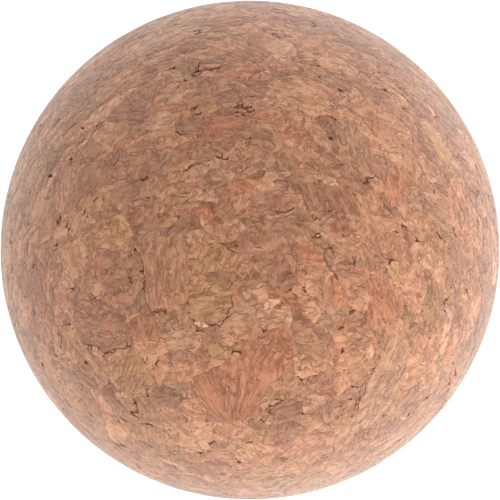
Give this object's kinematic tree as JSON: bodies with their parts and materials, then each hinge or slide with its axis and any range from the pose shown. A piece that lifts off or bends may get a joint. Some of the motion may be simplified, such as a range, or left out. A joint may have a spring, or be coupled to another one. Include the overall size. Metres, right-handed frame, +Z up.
{
  "type": "massage ball",
  "caption": "Solid cork massage ball, pressed from flat bark granules and turned round, for rolling out tight muscles.",
  "frame": {"origin": "centre of the ball", "axes": "+Z up, the display side faces -Y; the press axis of the granules lies in the YZ plane, 17 degrees below -Y"},
  "size_m": [0.065, 0.065, 0.065],
  "materials": {
    "fine_cork": "matt, fine cork granules with binder",
    "tan_cork": "matt, sanded cork bark, tan tone",
    "sand_cork": "matt, sanded cork bark, sand tone",
    "rose_cork": "matt, sanded cork bark, rose tone",
    "pale_cork": "matt, sanded cork bark, pale tone",
    "ochre_cork": "matt, sanded cork bark, ochre tone",
    "terracotta_cork": "matt, sanded cork bark, terracotta tone",
    "umber_cork": "matt, sanded cork bark, umber tone",
    "olive_cork": "matt, sanded cork bark, olive tone"
  },
  "bodies": {
    "root": {"blocky_tan_flake": "tan_cork", "broad_ochre_granules": "ochre_cork", "broad_olive_granules": "olive_cork", "broad_pale_granules": "pale_cork", "broad_rose_granules": "rose_cork", "broad_sand_flake": "sand_cork", "broad_sand_granules": "sand_cork", "broad_tan_granules": "tan_cork", "broad_terracotta_granules": "terracotta_cork", "broad_umber_granules": "umber_cork", "fine_granule_body": "fine_cork", "grey_olive_granule": "olive_cork", "long_orange_flake": "terracotta_cork", "mauve_flake": "umber_cork", "ochre_granule": "ochre_cork", "orange_flake": "terracotta_cork", "pale_olive_flake": "olive_cork", "red_sliver": "terracotta_cork", "rose_granule": "rose_cork", "round_ochre_flake": "ochre_cork", "round_umber_granule": "umber_cork", "small_ochre_granules": "ochre_cork", "small_olive_granules": "olive_cork", "small_pale_granules": "pale_cork", "small_rose_granules": "rose_cork", "small_sand_granules": "sand_cork", "small_tan_granules": "tan_cork", "small_terracotta_granules": "terracotta_cork", "small_umber_granules": "umber_cork", "smooth_pale_flake": "pale_cork", "square_pale_granule": "pale_cork", "straw_flake": "tan_cork", "terracotta_flake": "terracotta_cork", "warm_tan_flake": "tan_cork", "wavy_olive_flake": "ochre_cork"}
  },
  "joints": []
}
